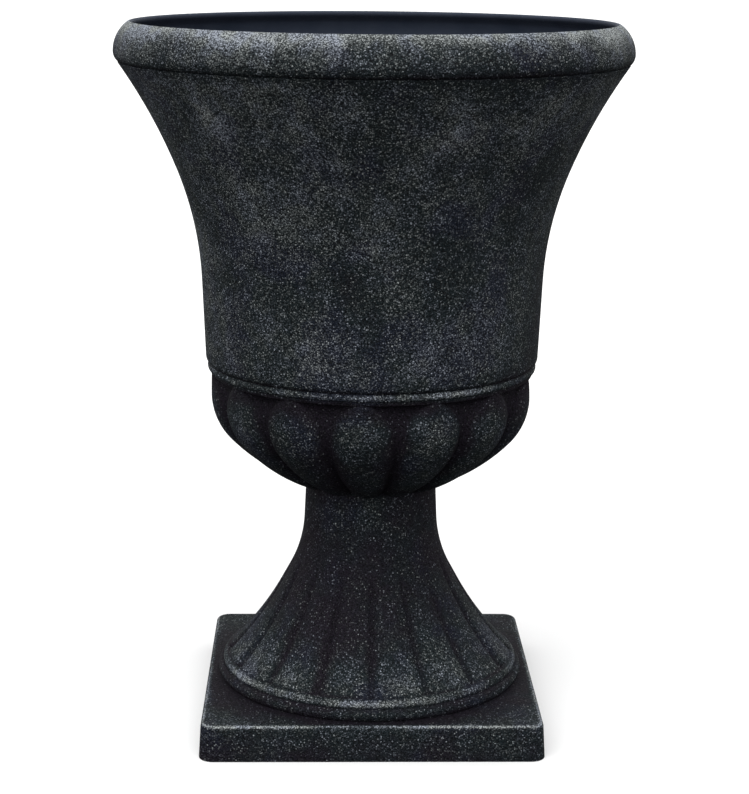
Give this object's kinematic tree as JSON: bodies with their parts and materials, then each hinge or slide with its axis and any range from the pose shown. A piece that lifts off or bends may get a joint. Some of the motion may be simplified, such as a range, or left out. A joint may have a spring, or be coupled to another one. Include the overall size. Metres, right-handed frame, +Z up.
{
  "type": "urn planter",
  "caption": "Classical urn planter: flared bowl with rolled rim and gadrooned base on a fluted, hollow pedestal with a square plinth; screwed together, with a removable drain plug.",
  "frame": {"origin": "centre of the plinth's underside, on the ground", "axes": "+Z up along the urn's axis, -Y out of the plinth's front face, +X to the right"},
  "size_m": [0.3912, 0.3911, 0.54],
  "materials": {
    "stone_resin_bowl": "pebbled charcoal resin with pale dry-brushed specks",
    "stone_resin_pedestal": "pebbled charcoal resin with pale dry-brushed specks",
    "screw_steel": "zinc-plated",
    "washer_rubber": "matt",
    "plug_rubber": "matt"
  },
  "bodies": {
    "urn": {"bowl": "stone_resin_bowl", "pedestal": "stone_resin_pedestal", "joining_screws": "screw_steel", "sealing_washers": "washer_rubber"},
    "plug": {"drain_plug": "plug_rubber"}
  },
  "joints": [
    {"name": "plug_lift", "type": "slide", "parent": "urn", "child": "plug", "axis": [0, 0, 1], "range_m": [0, 0.375]}
  ]
}
